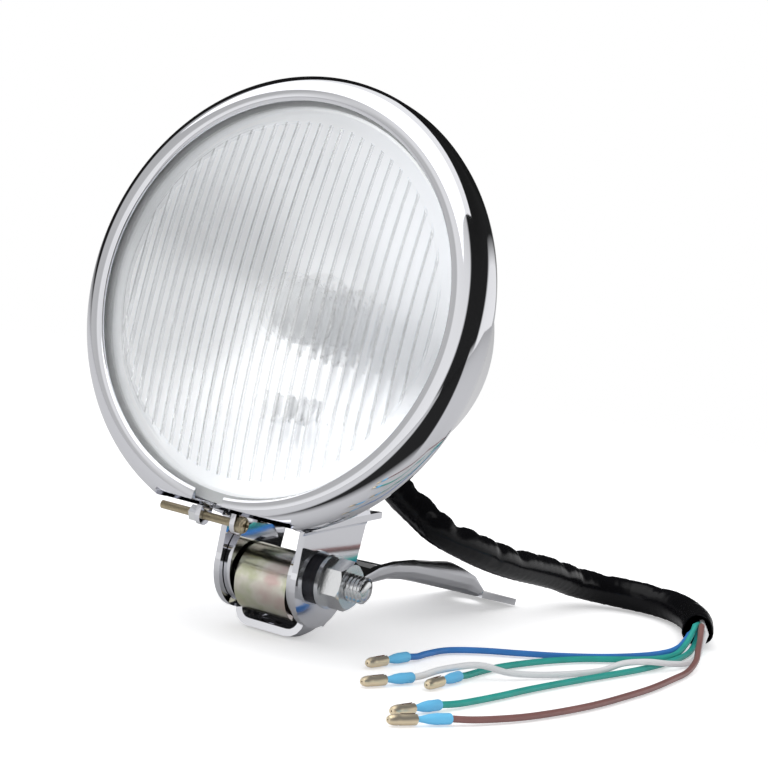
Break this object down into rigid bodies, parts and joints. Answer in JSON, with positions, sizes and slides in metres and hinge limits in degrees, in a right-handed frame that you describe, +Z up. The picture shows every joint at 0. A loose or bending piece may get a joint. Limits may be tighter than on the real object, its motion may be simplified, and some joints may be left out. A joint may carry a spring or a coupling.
{
  "type": "motorcycle headlight",
  "caption": "Round chromed motorcycle headlight with a split clamp ring, fluted glass, a bracket below, a strap that tilts on a bolt, and a sleeved cable with coloured leads.",
  "frame": {"origin": "middle of the box round the lamp without its cable, on the bench that it stands on", "axes": "+Z up, -Y the way the lens faces, +X towards the nut on the pivot bolt"},
  "size_m": [0.2055, 0.2961, 0.2021],
  "materials": {
    "chromed_steel": "mirror polish",
    "gilt_zinc": "yellow zinc plate",
    "white_zinc": "bright zinc plate",
    "clear_glass": "clear, pressed",
    "black_rubber": "matt",
    "mirror_coating": "bright metal coat",
    "dull_steel": "plain",
    "yellow_zinc": "yellow zinc plate",
    "blackened_steel": "blackened",
    "black_sleeve": "soft, slightly creased",
    "blue_lead": "soft plastic",
    "green_lead": "soft plastic",
    "white_lead": "soft plastic",
    "brown_lead": "soft plastic",
    "blue_shrink": "soft plastic",
    "brass": "bright"
  },
  "bodies": {
    "head": {"clamp_ring": "chromed_steel", "clamp_screw": "gilt_zinc", "clamp_nut": "white_zinc", "lens": "clear_glass", "lens_seal": "black_rubber", "reflector": "mirror_coating", "bulb": "clear_glass", "bulb_holder": "dull_steel", "pilot_bulb": "clear_glass", "pilot_holder": "black_rubber", "housing": "chromed_steel", "cable_grommet": "black_rubber", "head_bracket": "chromed_steel", "pivot_bolt": "white_zinc", "flat_washers": "white_zinc", "spring_washer": "blackened_steel", "pivot_nut": "white_zinc", "cable_sleeve": "black_sleeve", "lead_blue": "blue_lead", "lead_green_a": "green_lead", "lead_white": "white_lead", "lead_green_b": "green_lead", "lead_brown": "brown_lead", "shrink_blue": "blue_shrink", "shrink_green_a": "blue_shrink", "shrink_white": "blue_shrink", "shrink_green_b": "blue_shrink", "shrink_brown": "blue_shrink", "bullet_blue": "brass", "bullet_green_a": "brass", "bullet_white": "brass", "bullet_green_b": "brass", "bullet_brown": "brass"},
    "strap": {"mount_strap": "chromed_steel", "spacer_tube": "yellow_zinc"}
  },
  "joints": [
    {"name": "strap_tilt", "type": "hinge", "parent": "head", "child": "strap", "pos_m": [0, -0.05443, 0.0234], "axis": [1, 0, 0], "range_deg": [-25, 5]}
  ]
}
